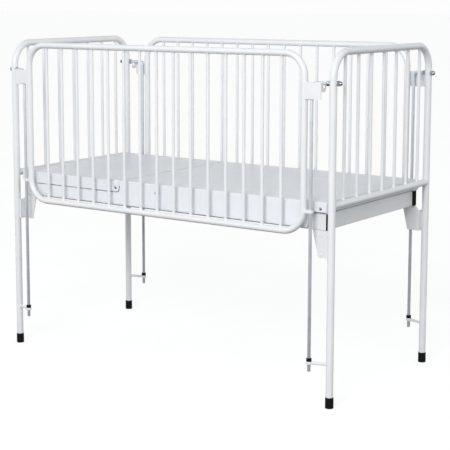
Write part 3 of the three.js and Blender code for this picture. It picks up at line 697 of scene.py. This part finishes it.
def guide_rod():
    """A bar bent once. Radius = bar's radius, less the chamfer at its ends, less thread depth x a
    wave of (angle - 2 pi x distance / pitch) where it is threaded."""
    corners = [(ROD_X, ROD_Y, ROD_LOW), (ROD_X, ROD_Y, LEG_Z), LEG_POST + LEG_WAY * LEG_TIP]
    path = bent_path(corners, ROD_BEND)
    total = lengths(path[0])[-1]
    thread = total - LEG_TIP + np.array([-30.0, -19.5])
    stops = np.concatenate([[0, 1, total - 1, total], np.arange(thread[0], thread[1], 0.22)])
    places, headings, s = with_stops(*path, stops)
    a = circle(28)
    ends = np.maximum(1 - np.minimum(s, total - s), 0)[:, None]
    wave = 0.5 - 0.5 * np.cos(a - 2 * np.pi * s[:, None] / PITCH_MM)
    cut = np.clip((s - thread[0]) / PITCH_MM, 0, 1) * (s < thread[1] + 0.3)
    normal = unit(np.cross((0, 0, 1), LEG_WAY))
    radius = ROD_R - ends - THREAD_DEPTH * cut[:, None] * wave
    return round_tube(places, headings, normal, radius, len(a))


for corner, flip in CORNERS.items():
    put(f"{corner}_guide_rod", "plated", mirrored([guide_rod()], *flip), ZINC_BAR, crease=60)
print("rod points:", len(guide_rod()[0]))


# %% Nuts
NUT_SIZE, NUT_SEAT, DOME_R = (14, 8, 5.02), 11.69, 6.4


def nut(across, height, bore, dome=None):
    """Rows from the bore out and up. A hexagon's distance is half its width / cos of the angle from
    a side's middle. A cone of 30 degrees trims both rims, and cuts lower the further a point is
    from the axis. A dome closes a cap nut."""
    a = circle(72)
    hexed = across / 2 / np.cos((a + np.pi / 6) % (np.pi / 3) - np.pi / 6)
    rim = across / 2 * 0.96
    drop = (hexed - rim) * math.tan(math.radians(30))
    rows = [(bore, 0), (rim, 0), (hexed, drop), (hexed, height - drop), (rim, height)]
    if dome:
        t = np.linspace(0, 0.97, 12) * np.pi / 2
        rows += [(dome, height)]
        rows += [(dome * math.cos(k), height + 1 + dome * math.sin(k)) for k in t]
    else:
        rows += [(bore, height)]
    r, h = (np.array([0 * a + row[k] for row in rows]) for k in (0, 1))
    return spun(r, h, a, not dome)


def on_leg(shell, start, way, twist):
    """Puts a nut on the rod's leg, start mm from the post's axis, with its axis along way."""
    axis = unit(LEG_WAY * way)
    level = unit(np.cross((0, 0, 1), axis))
    first = math.cos(twist) * level + math.sin(twist) * np.array([0, 0, 1.0])
    nut_axes = np.column_stack([first, np.cross(axis, first), axis])
    return moved(shell, nut_axes, LEG_POST + axis * start)


for corner, (end, side) in CORNERS.items():
    lock = on_leg(nut(*NUT_SIZE), NUT_SEAT, -1, 0.35 + 0.3 * end)
    cap = on_leg(nut(*NUT_SIZE, DOME_R), NUT_SEAT, 1, 0.1 + 0.25 * side)
    put(f"{corner}_lock_nut", "plated", mirrored([lock], end, side), ZINC_NUT, crease=24)
    put(f"{corner}_cap_nut", "plated", mirrored([cap], end, side), ZINC_NUT, crease=24)
print("nuts made")


# %% Buffers and leg tips
def buffer():
    """A rubber collar: a rounded rectangle spun round the rod, with one shallow groove."""
    bore, r, groove_r, top = 5.1, 8, 7.6, 145.25
    groove = [(r, 139.2), (groove_r, 139.6), (groove_r, 140.2), (r, 140.6)]
    outline = [(bore, EYE_HIGH), (r, EYE_HIGH), *groove, (r, top), (bore, top)]
    return turned(rounded(outline, [0.3, 1.2, 0.2, 0.2, 0.2, 0.2, 1.8, 0.5]), 40, True)


def leg_tip():
    """A cup: from the middle of the sole out, up the slightly tapered wall, over the lip, and
    down inside to the post's end. The sole is a little proud, like a tyre."""
    middle, bore, top = 0.4, 11.04, 33
    tyre = [(12.6, 0), (12.6, 6.6), (12.3, 7.0), (12.3, 8.0)]
    cup = [(12.52, 8.6), (12.4, top), (bore, top), (bore, POST_LOW)]
    outline = [(middle, 0), *tyre, *cup, (middle, POST_LOW)]
    return turned(rounded(outline, [0.01, 2, 0.3, 0.2, 0.2, 0.3, 1.3, 0.5, 0.01, 0.01]), 48, True)


collar = moved(buffer(), np.eye(3), (ROD_X, ROD_Y, 0))
foot = moved(leg_tip(), np.eye(3), (POST_X, POST_Y, 0))
for corner, flip in CORNERS.items():
    put(f"{corner}_rod_buffer", "moulded", mirrored([collar], *flip), RUBBER)
    put(f"{corner}_leg_tip", "moulded", mirrored([foot], *flip), RUBBER)
print("buffers and leg tips made")

# %% [markdown]
# ## The bed frame's corners
# The bed frame hangs on the posts: a hook plate under each rail end drops into a
# slotted socket that is welded to the post. Both are plain outlines pushed to a
# thickness. The weld beside a socket is a thin rippled bead.


# %% Sockets and hooks
ALONG_X, ALONG_Y = (np.eye(3)[order].T for order in ([1, 2, 0], [0, 2, 1]))
RAIL_IN, RAIL_OUT, RAIL_LOW, RAIL_TOP, RAIL_END = 260.3, 284.3, 521, 571, 592
HOOK_IN, HOOK_TIP = 280.3, 604


def slab(outline, low, high, axes):
    """An outline pushed from low to high. Its two directions and the push are columns of axes."""
    return moved(grid_shell(np.array([at_height(outline, h) for h in (low, high)])), axes)


def bead(low, high, radius):
    """A weld bead: a thin bar whose radius ripples every 3 mm and fades at its ends."""
    s, length = np.linspace(0, 1, 120), np.linalg.norm(np.subtract(high, low))
    ripple, fade = np.sin(2 * np.pi * s * length / 3), np.sqrt(1 - (2 * s - 1) ** 8 * 0.9)
    rippled = radius * (1 + 0.09 * ripple) * fade
    return straight_bar(low, high, s, (1, 0, 0), rippled[:, None], 16)


SOCKET_LOW, SOCKET_TOP = 440, 506
SOCKET_LIPS = [(594, 280), (594, 277.5), (609, 277.5), (609, 302)]
SOCKET_LIPS += [(603, 302), (603, 284.6), (604.3, 284.6), (604.3, 280)]


def holed_plate(outline, hole, bore, low, high):
    """An outline in x and z with a round hole, pushed from y = low to high."""
    a = spokes(outline, hole, 40)
    plate = ring_plate(a, reach(outline, hole, a), np.full(len(a), bore), low, high)
    return moved(plate, ALONG_Y, (hole[0], 0, hole[1]))


def hook_plate():
    """The tapered plate with a small hole, 0.8 mm thinner below its doubled upper edge."""
    lower = [(566, SOCKET_LOW), (HOOK_TIP, SOCKET_LOW), (HOOK_TIP, 503), (552, 503)]
    upper = [(548, RAIL_LOW), (552.2, 502), (HOOK_TIP, 502), (HOOK_TIP, 510), (RAIL_END, RAIL_LOW)]
    plate = holed_plate(lower, (573, 452), 2.2, HOOK_IN, RAIL_OUT - 0.8)
    return [plate, slab(upper, HOOK_IN, RAIL_OUT, ALONG_Y)]


welds = [bead((x, y, 444), (x, y, 502), 1.5) for x, y in ((609.6, 303.0), (610.2, 294.4))]
socket = [slab(SOCKET_LIPS, SOCKET_LOW, SOCKET_TOP, np.eye(3)), *welds]
for corner, flip in CORNERS.items():
    put(f"{corner}_post_socket", "painted", mirrored(socket, *flip), WHITE, 0.7)
    put(f"{corner}_rail_hook", "painted", mirrored(hook_plate(), *flip), WHITE, 0.6)
print("sockets and hooks made")

# %% [markdown]
# ## Rails and end plugs
# The rails are rectangular tube with rounded corners. A row of points just
# beside each rounded corner keeps the flat faces flat in the light. Each side
# rail is closed by a moulded plug with a shallow pan in its face.


# %% Rails and end plugs
RAIL_WALL, CROSS_IN, CROSS_OUT = 2, 566, 590


def tube_section(low, high, radius, steps=5, rest=0.5):
    """A rectangle with rounded corners, and a point beside each end of every arc."""
    (y0, z0), (y1, z1) = low, high
    ring = rounded([(y0, z0), (y1, z0), (y1, z1), (y0, z1)], radius, steps).reshape(4, steps + 1, 2)
    before, after = unit(ring[:, 0] - ring[:, 1]), unit(ring[:, -1] - ring[:, -2])
    beside = lambda at, way: at + rest * (np.sign(way) * (np.abs(way) > 0.6))[:, None]
    parts = [beside(ring[:, :1], before), ring, beside(ring[:, -1:], after)]
    return np.concatenate(parts, 1).reshape(-1, 2)


def rect_tube(low, high, start, stop, wall, axes):
    """A tube of rectangular section: outer ring at both ends, then the inner ring back again."""
    outer = tube_section(low, high, 3.0)
    inner = tube_section(np.add(low, wall), np.subtract(high, wall), 1.2)
    rows = [(outer, start), (outer, stop), (inner, stop), (inner, start)]
    grid = np.array([at_height(ring, h) for ring, h in rows])
    return moved(grid_shell(grid, closed=True), axes)


def plug():
    """Rings from the rail's end outwards: edge, rounded rim, flat land, and a pan 0.8 mm deep."""
    rings = [(0.3, 0.02), (0, 0.5), (0, 1.8), (0.25, 2.5), (0.9, 3.0), (3.6, 3.0), (4.4, 2.2)]
    rows = []
    for inset, h in rings:
        low, high = (RAIL_IN + inset, RAIL_LOW + inset), (RAIL_OUT - inset, RAIL_TOP - inset)
        rows.append(at_height(tube_section(low, high, max(3 - inset * 0.4, 0.8)), h))
    return moved(grid_shell(np.array(rows)), ALONG_X, (RAIL_END, 0, 0))


for side_name, side in SIDES.items():
    low, high = (RAIL_IN, RAIL_LOW), (RAIL_OUT, RAIL_TOP)
    rail = rect_tube(low, high, -RAIL_END, RAIL_END, RAIL_WALL, ALONG_X)
    put(f"{side_name}_side_rail", "painted", mirrored([rail], 1, side), WHITE, crease=30)
for end_name, end in ENDS.items():
    low, high = (CROSS_IN, RAIL_LOW), (CROSS_OUT, RAIL_TOP)
    rail = rect_tube(low, high, -RAIL_IN, RAIL_IN, RAIL_WALL, ALONG_Y)
    put(f"{end_name}_cross_rail", "painted", mirrored([rail], end, 1), WHITE, crease=30)
for corner, flip in CORNERS.items():
    put(f"{corner}_rail_plug", "moulded", mirrored([plug()], *flip), PLASTIC, crease=30)
print("rails and plugs made")

# %% [markdown]
# ## The deck and the backrest
# Both are trays of sheet steel with folded edges. Their edge is one profile, up
# the skirt and over a bend, carried round a path seen from above. Part of it is
# left out where the real sheet is cut away. One flat face fills the middle.


# %% Trays
DECK_TOP, DECK_END, SKIRT_Y, FLANGE_Y, SHEET_BEND = 606, 600, 294.3, 296.6, 3
PIVOT_X, PIVOT_Z, FLANGE_Z, FLANGE_R = 185, 583, 581, 12
QUARTER = np.linspace(0, np.pi / 2, 9)


def tray(path, stations, low, top, bend, land, cut_x, tongue=(), close=False, cut_top=None):
    """A profile carried along a path: lower edge, upright, quarter bend and land. Point = place +
    inward x depth, at the profile's height. low gives the lower edge at each station. Where x is
    below cut_x, only the upright is kept, up to cut_top. tongue has more corners for the top."""
    places, headings, _ = with_stops(*path, stations)
    inward = np.column_stack([-headings[:, 1], headings[:, 0], 0 * headings[:, 0]])
    a = np.linspace(0, np.pi / 2, 7)
    depth = np.concatenate([[0, 0], bend * (1 - np.cos(a)), [land]])
    rise = np.concatenate([[0, top - bend - 0.8], top - bend + bend * np.sin(a), [top]])
    z = np.broadcast_to(rise, (len(places), len(rise))).copy()
    z[:, 0] = low(places)
    is_cut = places[:, 0] < cut_x
    if cut_top is not None:
        z[is_cut, 1:3] = cut_top(places[is_cut])[:, None] - [0.8, 0]
    points = places[:, None] + inward[:, None] * depth[None, :, None]
    points[..., 2] = z
    near, far = points, np.roll(points, -1, 0)
    faces = np.stack([near[:, :-1], far[:, :-1], far[:, 1:], near[:, 1:]], 2)
    keep = np.ones(faces.shape[:2], bool)
    keep[:, 2:] = ~(is_cut & np.roll(is_cut, -1))[:, None]
    keep[-1] &= close
    middle = np.vstack([*points[~is_cut, -1], *tongue])
    return welded_shell([*faces[keep], middle])


def long_tray(start, y, stations_x, low, *shape, **cuts):
    """A tray along one side, round the foot end and back, with the same stations on both sides."""
    corners = [(start, -y, 0), (DECK_END, -y, 0), (DECK_END, y, 0), (start, y, 0)]
    path = bent_path(corners, 8, steps=8)
    steps = np.concatenate(stations_x) - start
    stations = np.concatenate([steps, lengths(path[0])[-1] - steps])
    return tray(path, stations, low, DECK_TOP, SHEET_BEND, *shape, **cuts)


def slit_curve(radius):
    """The slit's rounded end: a quarter circle round the corner of the backrest's flange, from
    straight below it to level with it, as x and z."""
    return -PIVOT_X + radius * np.sin(QUARTER), FLANGE_Z - radius * np.cos(QUARTER)


def deck():
    """The fixed deck: sheet from the hinge to the foot, and skirts that run on under the backrest,
    where a slit parts them from the strip behind its flange. Two stations 0.001 mm apart make a
    step."""
    start, slit_start, slit_end, hinge, ramp, skirt_top = -540, -530, -170, -168, 532, 603
    slit_x, slit_z = slit_curve(15.0)
    slit = [slit_start - 0.001, slit_start, *slit_x, slit_end + 0.001]
    slit_top = [skirt_top, 566, *slit_z, skirt_top]
    stations = slit, [hinge - 0.001, hinge], ramp + 8 * np.linspace(0, 1, 9)
    ramp_x, ramp_z = ramp + 8 * np.sin(QUARTER), 527 + 49 * (1 - np.cos(QUARTER))
    low_edge = lambda p: np.interp(p[:, 0], ramp_x, ramp_z)
    slit_edge = lambda p: np.interp(p[:, 0], slit, slit_top)
    return long_tray(start, SKIRT_Y, stations, low_edge, 5, hinge - 0.0005, cut_top=slit_edge)


def upper_skirt():
    """The part of the skirt behind the backrest's flange, above the slit, as a flat plate."""
    slit = np.column_stack(slit_curve(11.5))
    outline = [(-169, 603), (-531, 603), (-531, 569.5), *slit, (-173.5, 588), (-169, 588)]
    return slab(outline, 292.4, 294.2, ALONG_Y)


put("deck_tray", "folded", [deck()], DECK, 0.4, 2.0, (0, 0, 1))
uppers = [shell for side in (1, -1) for shell in mirrored([upper_skirt()], 1, side)]
put("deck_tray", "upper_skirts", uppers, DECK, 0.4)
print("deck:", pieces["deck_tray_folded"].dimensions)


# %% Backrest
def backrest():
    """The tilting part, made at the foot end and then turned half round: flanges with a rounded
    lower corner, an ear past the end of the bend, and a tongue towards the hinge."""
    start, ear_end, tongue_y = PIVOT_X - FLANGE_R, 195, 291.8
    curve_x = PIVOT_X - FLANGE_R * np.cos(QUARTER)
    curve_z = FLANGE_Z - FLANGE_R * np.sin(QUARTER)
    stations = curve_x, [ear_end - 0.001, ear_end, 570, 578]
    low_edge = lambda p: np.interp(p[:, 0], [*curve_x, 570, 578], [*curve_z, 569, 576])
    tongue = [(start, tongue_y, DECK_TOP), (start, -tongue_y, DECK_TOP)]
    shell = long_tray(start, FLANGE_Y, stations, low_edge, 4.8, ear_end - 0.0005, tongue)
    return moved(shell, np.diag([-1, -1, 1]))


STAY_X, STAY_Z = -415, 590


def stay_ear(y):
    """A small plate under the backrest with a hole for the stay's end."""
    below = [(-425, 584), (-421, 580), (-409, 580), (-405, 584)]
    outline = [*below, (-405, 604.5), (-425, 604.5)]
    return holed_plate(outline, (STAY_X, STAY_Z), 4.2, y - 2, y + 2)


put("backrest_panel", "folded", [backrest()], DECK, 0.4, 2.0, (0, 0, 1))
put("backrest_panel", "ears", [stay_ear(-114), stay_ear(114)], DECK, 0.5)
print("backrest:", pieces["backrest_panel_folded"].dimensions)

# %% [markdown]
# ## Under the deck
# Three folded channels carry the deck, a bent bar props the backrest, and a
# strip with a raised lip stops the bar's foot. The photograph shows only a dark
# gap over the cross rail, but they show when the backrest is up.


# %% Under the deck
def bearer(x):
    """A channel open below: the tray's profile round a closed rectangle. Its walls are cut short
    except at four feet, which stand on the rails."""
    half, end, bend, foot_y, foot_half, short = 17, 292, 4, 273.2, 14.95, 584
    corners = [(x - half, -end, 0), (x + half, -end, 0), (x + half, end, 0), (x - half, end, 0)]
    path = bent_path(corners, bend, True, 6)
    wall_starts = [(x + half, bend - end, 0), (x - half, end - bend, 0)]
    nearest = [np.linalg.norm(path[0] - start, axis=1).argmin() for start in wall_starts]
    steps = end - bend + np.array([-258.5, -258, 258, 258.5])
    stations = (lengths(path[0])[nearest][:, None] + steps).ravel()
    on_rail = lambda p: np.abs(np.abs(p[:, 1]) - foot_y) <= foot_half
    low_edge = lambda p: np.where(on_rail(p), RAIL_TOP, short)
    return tray(path, stations, low_edge, DECK_TOP - 2, 2.5, 3, -np.inf, close=True)


def stay():
    """A bar bent four times in one plane, with chamfered ends."""
    arm_y, tip_y, foot_x, chamfer = 100, 116.3, -215, 0.8
    half = [(STAY_X, tip_y, STAY_Z), (STAY_X, arm_y, STAY_Z), (foot_x, arm_y, STAY_Z)]
    corners = half + [(x, -y, z) for x, y, z in half[::-1]]
    places, headings, s = with_stops(*bent_path(corners, 12, steps=12), [chamfer])
    ends = np.maximum(chamfer - np.minimum(s, s[-1] - s), 0)[:, None]
    return round_tube(places, headings, (0, 0, 1), 4 - ends, 24)


for name, x in {"head": -580, "middle": -23, "foot": 580}.items():
    put(f"{name}_deck_bearer", "folded", [bearer(x)], WHITE, 0.4, 2.0, (0, 0, 1))

put("backrest_stay", "plated", [stay()], ZINC_BAR)
strip_z, lip_z = RAIL_TOP + 2.5, RAIL_TOP + 6.5
rest = [(-255, RAIL_TOP), (-210, RAIL_TOP), (-210, strip_z)]
rest += [(-241.5, strip_z), (-243.5, lip_z), (-255, lip_z)]
put("stay_rest", "painted", [slab(rest, -RAIL_OUT, RAIL_OUT, ALONG_Y)], WHITE, 0.5)
print("stay length:", round(float(stay()[2][:, 2].max()), 1), "mm")

# %% [markdown]
# ## Screws
# The deck's screws have a low rounded head with a cross recess. The head is a
# height over a disc: a dome, less a cross that is deepest in the middle. The
# backrest turns on two bigger screws with a nut behind.


# %% Screws
def pan_head(radius, height, cross):
    """Height = height x (1 - (r / R)^4 x 0.55), less a cross of two bars whose depth fades at its
    edges. The rim drops to the sheet, and rows go from the sheet inwards."""
    a = circle(72)
    r = radius * np.concatenate([[1, 1], np.linspace(0.985, 0.02, 34)])[:, None]
    x, y = r * np.cos(a), r * np.sin(a)
    fade = lambda half, u, soft: np.clip((half - np.abs(u)) / soft, 0, 1)
    bar = lambda u, v: fade(cross * 0.24, u, 0.18) * fade(cross, v, 0.35)
    deep = np.maximum(bar(x, y), bar(y, x)) * 1.5
    h = height * (1 - 0.55 * (r / radius) ** 4) + 0 * a - deep
    h[0] = 0
    return grid_shell(np.dstack([x, y, h]))


def shank(radius, start, stop):
    """A round bar with a small chamfer at its end."""
    return turned([(radius, start), (radius, stop - 0.5), (radius - 0.5, stop)], 24)


def sideways(shells, x, z, y, side):
    """Screws on one side of the cot: their axis is y."""
    turn = np.column_stack([(1, 0, 0), (0, 0, -1), (0, 1, 0)])
    return mirrored([moved(shell, turn, (x, y, z)) for shell in shells], 1, side)


for side_name, side in SIDES.items():
    for name, x, z in (("foot", 580, 586), ("middle", -23, 578)):
        screw = sideways([pan_head(4.5, 2.5, 2.4), shank(2, -6, -0.02)], x, z, SKIRT_Y, side)
        put(f"{side_name}_{name}_deck_screw", "plated", screw, ZINC_NUT, crease=35)
    at = -PIVOT_X, PIVOT_Z
    pivot = sideways([pan_head(5.5, 2.5, 3.0), shank(3, -9.5, -0.02)], *at, 296.9, side)
    pivot += sideways([nut(10, 5, 3.05)], *at, 287, side)
    put(f"{side_name}_backrest_pivot", "plated", pivot, ZINC_NUT, crease=35)
print("pieces:", len(pieces), "for", len(frame["nodes"]), "CAD parts")

# %% [markdown]
# ## Stage
# The picture is a packshot on white. A soft lamp near the camera's left lights
# the fronts. The room's bright walls fill in the rest, and it is dim above and
# dark below, so round tubes darken towards their undersides. The floor reaches
# past the horizon. It glows, so that it stays white in the picture, and is kept
# out of the light that reaches the cot, which would otherwise lose its shading.

# %% Floor
FLOOR_HALF = 60.0
ring = (-1, -1, 0), (1, -1, 0), (1, 1, 0), (-1, 1, 0)
mesh = bpy.data.meshes.new("floor")
mesh.from_pydata([[FLOOR_HALF * c for c in corner] for corner in ring], [], [(0, 1, 2, 3)])
sheet = add("floor", mesh)
sheet.visible_diffuse = sheet.visible_glossy = sheet.visible_shadow = False
glow = {"Emission Strength": 0.83, "Emission Color": (1, 1, 1, 1)}
f = Finish("floor", {"Roughness": 0.9, "Specular IOR Level": 0.0, **glow})
soft = f.cloud(f.place(), 0.4, 3)
f.feed(colour=f.tint(f.span(soft), (0.24, 0.24, 0.24), (0.26, 0.26, 0.26)))
mesh.materials.append(f.material)

# %% Lamp
LAMP_PLACE, LAMP_AIM, LAMP_SIZE, LAMP_POWER = (1.45, -4.6, 2.8), (0, 0, 0.6), 2.0, 136
lamp = bpy.data.lights.new("front_lamp", "AREA")
lamp.energy, lamp.size = LAMP_POWER, LAMP_SIZE
turn = Vector(np.subtract(LAMP_PLACE, LAMP_AIM)).to_track_quat("Z", "Y").to_matrix()
add("front_lamp", lamp, *turn.col, LAMP_PLACE)
print("lamp:", LAMP_POWER, "W")

# %% Room
# Strength = a rise from below to wall, less a fall from wall to above. The
# camera sees plain white.
BELOW, WALL, ABOVE = 0.04, 1.08, 0.18
world = bpy.data.worlds.new("white_room")
bpy.context.scene.world = world
net = Net(world)
net.tree.nodes.remove(net.tree.nodes["Background"])
way = net.node("ShaderNodeTexCoord", output="Generated")
height = net.node("ShaderNodeSeparateXYZ", {}, {0: way}, 2)
fall = net.span(height, 0.2, 1.0, 0.0, WALL - ABOVE)
strength = net.span(height, -0.55, 0.05, BELOW, WALL) - fall
light = {"Color": (0.96, 0.985, 1.0, 1), "Strength": strength}
glow = net.node("ShaderNodeBackground", {}, light)
seen = net.node("ShaderNodeBackground", {}, {"Color": (0.982, 0.982, 0.982, 1)})
is_seen = net.node("ShaderNodeLightPath", output="Is Camera Ray")
shown = net.node("ShaderNodeMixShader", {}, {0: is_seen, 1: glow, 2: seen})
net.tree.links.new(shown.socket, net.tree.nodes["World Output"].inputs[0])
bpy.context.scene.view_settings.view_transform = "Standard"
print("room:", len(net.tree.nodes), "nodes")
